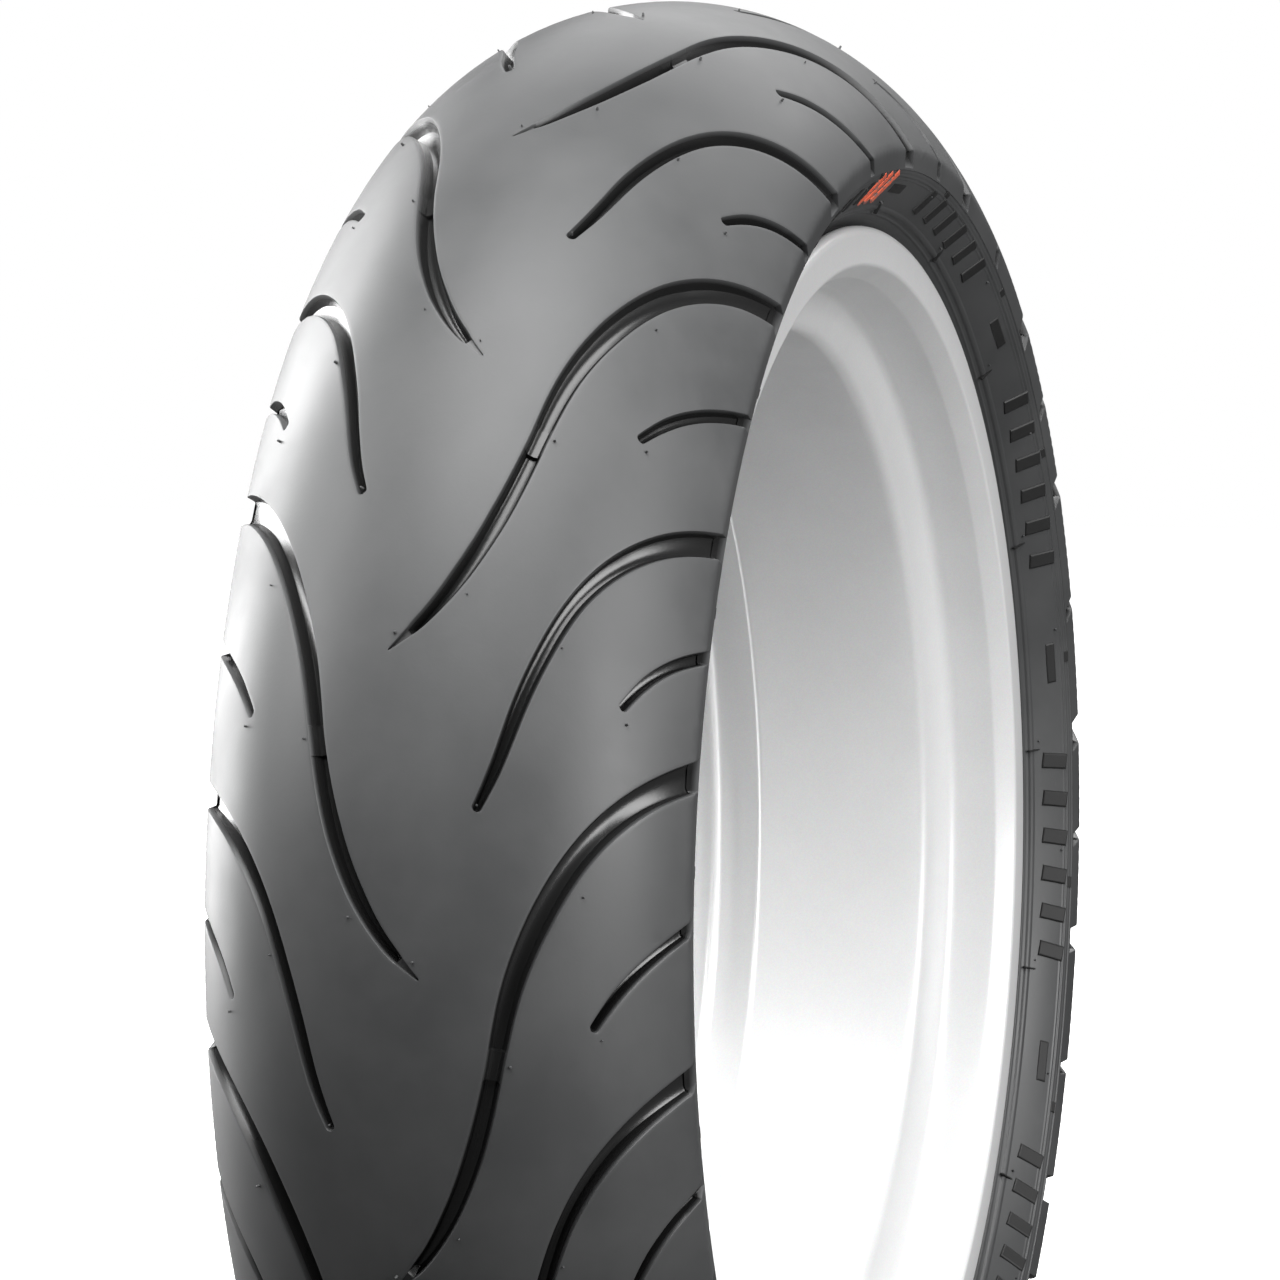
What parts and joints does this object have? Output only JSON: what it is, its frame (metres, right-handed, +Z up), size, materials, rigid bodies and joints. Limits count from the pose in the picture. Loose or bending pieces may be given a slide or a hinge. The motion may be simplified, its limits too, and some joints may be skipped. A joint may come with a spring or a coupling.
{
  "type": "motorcycle tire",
  "caption": "Radial motorcycle tyre with a curved groove tread, seated on a bare drop-well rim barrel with a screw-capped valve.",
  "frame": {"origin": "centre of the wheel, on the axle line and on the tread's middle plane", "axes": "+Y along the axle, towards the side away from the valve; +Z up; the valve points at the axle from the lowest point of the rim"},
  "size_m": [0.6238, 0.1702, 0.6238],
  "materials": {
    "tread_rubber": "smooth new rubber",
    "sidewall_rubber": "moulded satin rubber",
    "belt_cord": "rubbered steel cord",
    "carcass_cord": "rubbered textile cord",
    "liner_rubber": "smooth airtight rubber",
    "bead_steel": "bronzed wire",
    "filler_rubber": "hard rubber",
    "rim_paint": "light silver satin paint",
    "valve_brass": "nickel-free turned brass",
    "valve_steel": "zinc-plated steel",
    "seal_rubber": "soft black rubber",
    "cap_plastic": "moulded black plastic"
  },
  "bodies": {
    "wheel": {"tread": "tread_rubber", "sidewall_right": "sidewall_rubber", "sidewall_left": "sidewall_rubber", "outer_belt": "belt_cord", "inner_belt": "belt_cord", "carcass_ply": "carcass_cord", "inner_liner": "liner_rubber", "bead_core_right": "bead_steel", "bead_core_left": "bead_steel", "bead_filler_right": "filler_rubber", "bead_filler_left": "filler_rubber", "chafer_right": "filler_rubber", "chafer_left": "filler_rubber", "rim": "rim_paint", "valve_stem": "valve_brass", "valve_grommet": "seal_rubber", "valve_washer": "valve_steel", "valve_nut": "valve_steel", "core_plug": "valve_brass", "core_seal": "seal_rubber", "core_barrel": "valve_brass", "core_spring": "valve_steel"},
    "pin": {"core_pin": "valve_steel"},
    "cap_disc": {"cap_seal": "seal_rubber"},
    "cap": {"valve_cap": "cap_plastic"}
  },
  "joints": [
    {"name": "core_pin_press", "type": "slide", "parent": "wheel", "child": "pin", "axis": [0, 0, -1], "range_m": [0, 0.0012], "stiffness_N_per_m": 600, "springref_m": -0.0012, "deforming": ["core_spring"]},
    {"name": "cap_lift", "type": "slide", "parent": "wheel", "child": "cap_disc", "axis": [0, 0, 1], "range_m": [0, 0.0094]},
    {"name": "cap_turn", "type": "hinge", "parent": "cap_disc", "child": "cap", "pos_m": [0, -0.0349, -0.181], "axis": [0, 0, 1], "range_deg": [0, 4260]}
  ],
  "couplings": [
    {"joint": "cap_turn", "follows": "cap_lift", "rad_per_m": 7913.3}
  ]
}
